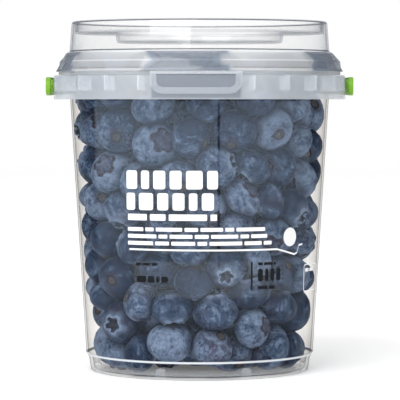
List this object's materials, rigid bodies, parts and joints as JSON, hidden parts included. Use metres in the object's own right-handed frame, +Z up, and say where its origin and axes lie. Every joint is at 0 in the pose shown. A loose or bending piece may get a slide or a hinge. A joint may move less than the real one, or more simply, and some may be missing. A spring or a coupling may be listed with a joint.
{
  "type": "shut clear tub of blueberries",
  "caption": "Shut round clear plastic tub of blueberries with a ribbed collar, a tear tab, a stepped clear lid and a hinged carrying handle.",
  "frame": {"origin": "centre of the tub's flat base, on the surface it stands on", "axes": "+Z up along the tub's axis, -Y towards the tear tab at the front, +X to the right seen from the front"},
  "size_m": [0.1244, 0.1216, 0.1408],
  "materials": {
    "tub_plastic": "clear moulded plastic, milky where the collar is thick, with white and black print",
    "lid_plastic": "thin clear formed plastic, glossy",
    "handle_plastic": "moulded bright green plastic, satin",
    "berry_skin": "dark blue fruit skin with a pale dusty bloom"
  },
  "bodies": {
    "pack": {"tub": "tub_plastic", "lid": "lid_plastic", "blueberries": "berry_skin"},
    "handle": {"handle": "handle_plastic"}
  },
  "joints": [
    {"name": "handle_swing", "type": "hinge", "parent": "pack", "child": "handle", "pos_m": [0, 0, 0.1148], "axis": [1, 0, 0], "range_deg": [-25, 205]}
  ]
}
